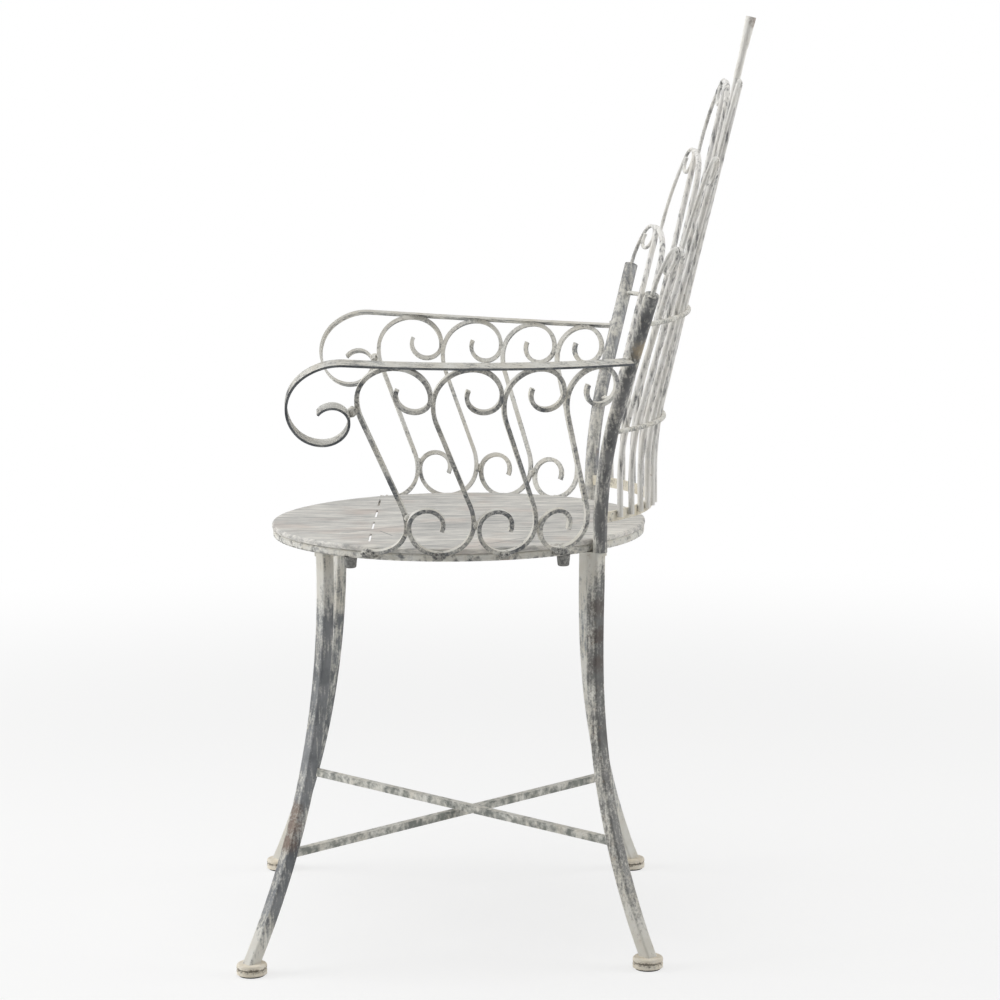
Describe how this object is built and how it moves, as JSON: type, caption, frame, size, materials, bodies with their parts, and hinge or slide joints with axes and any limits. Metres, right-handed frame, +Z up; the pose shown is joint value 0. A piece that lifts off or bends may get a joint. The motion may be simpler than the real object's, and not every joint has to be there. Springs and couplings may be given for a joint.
{
  "type": "garden armchair",
  "caption": "Wrought iron garden armchair with a round seat, a rising fan of looped back bars, scrolled arms, splayed legs and crossed stretchers.",
  "frame": {"origin": "on the floor under the middle of the chair's bounding box", "axes": "+Z up from the floor, -Y the way the sitter faces, +X the sitter's left"},
  "size_m": [0.6324, 0.5592, 0.9915],
  "materials": {
    "worn_whitewash": "matt off-white wash brushed over grey iron, worn",
    "leg_whitewash": "matt off-white wash over grey iron with rust spots",
    "brushed_seat_sheet": "matt off-white wash with brush streaks",
    "cream_painted_iron": "matt cream paint",
    "dark_iron": "dark grey paint",
    "rubber_glides": "matt"
  },
  "bodies": {
    "root": {"arm_rail_left": "worn_whitewash", "arm_rail_right": "worn_whitewash", "arm_scroll_1_left": "worn_whitewash", "arm_scroll_1_right": "worn_whitewash", "arm_scroll_2_left": "worn_whitewash", "arm_scroll_2_right": "worn_whitewash", "arm_scroll_3_left": "worn_whitewash", "arm_scroll_3_right": "worn_whitewash", "arm_scroll_4_left": "worn_whitewash", "arm_scroll_4_right": "worn_whitewash", "back_band": "worn_whitewash", "back_bar_centre": "worn_whitewash", "back_crook_high_left": "worn_whitewash", "back_crook_high_right": "worn_whitewash", "back_crook_low_left": "worn_whitewash", "back_crook_low_right": "worn_whitewash", "back_crook_middle_left": "worn_whitewash", "back_crook_middle_right": "worn_whitewash", "back_post_left": "worn_whitewash", "back_post_right": "worn_whitewash", "back_ring_bar_high_left": "worn_whitewash", "back_ring_bar_high_right": "worn_whitewash", "back_ring_bar_low_left": "worn_whitewash", "back_ring_bar_low_right": "worn_whitewash", "back_ring_bar_middle_left": "worn_whitewash", "back_ring_bar_middle_right": "worn_whitewash", "back_rod_middle": "worn_whitewash", "back_rod_upper": "worn_whitewash", "back_shoulder_bar_high_left": "worn_whitewash", "back_shoulder_bar_high_right": "worn_whitewash", "back_shoulder_bar_low_left": "worn_whitewash", "back_shoulder_bar_low_right": "worn_whitewash", "back_shoulder_bar_middle_left": "worn_whitewash", "back_shoulder_bar_middle_right": "worn_whitewash", "back_spire": "worn_whitewash", "foot_front_left": "cream_painted_iron", "foot_front_right": "cream_painted_iron", "foot_glides": "rubber_glides", "foot_rear_left": "cream_painted_iron", "foot_rear_right": "cream_painted_iron", "leg_front_left": "leg_whitewash", "leg_front_right": "leg_whitewash", "leg_rear_left": "leg_whitewash", "leg_rear_right": "leg_whitewash", "post_cap_left": "worn_whitewash", "post_cap_right": "worn_whitewash", "rim_clips_left": "worn_whitewash", "rim_clips_right": "worn_whitewash", "seat_cap_nuts": "dark_iron", "seat_hoop": "brushed_seat_sheet", "seat_panel": "brushed_seat_sheet", "seat_studs": "dark_iron", "stretcher_lower": "leg_whitewash", "stretcher_upper": "leg_whitewash"}
  },
  "joints": []
}
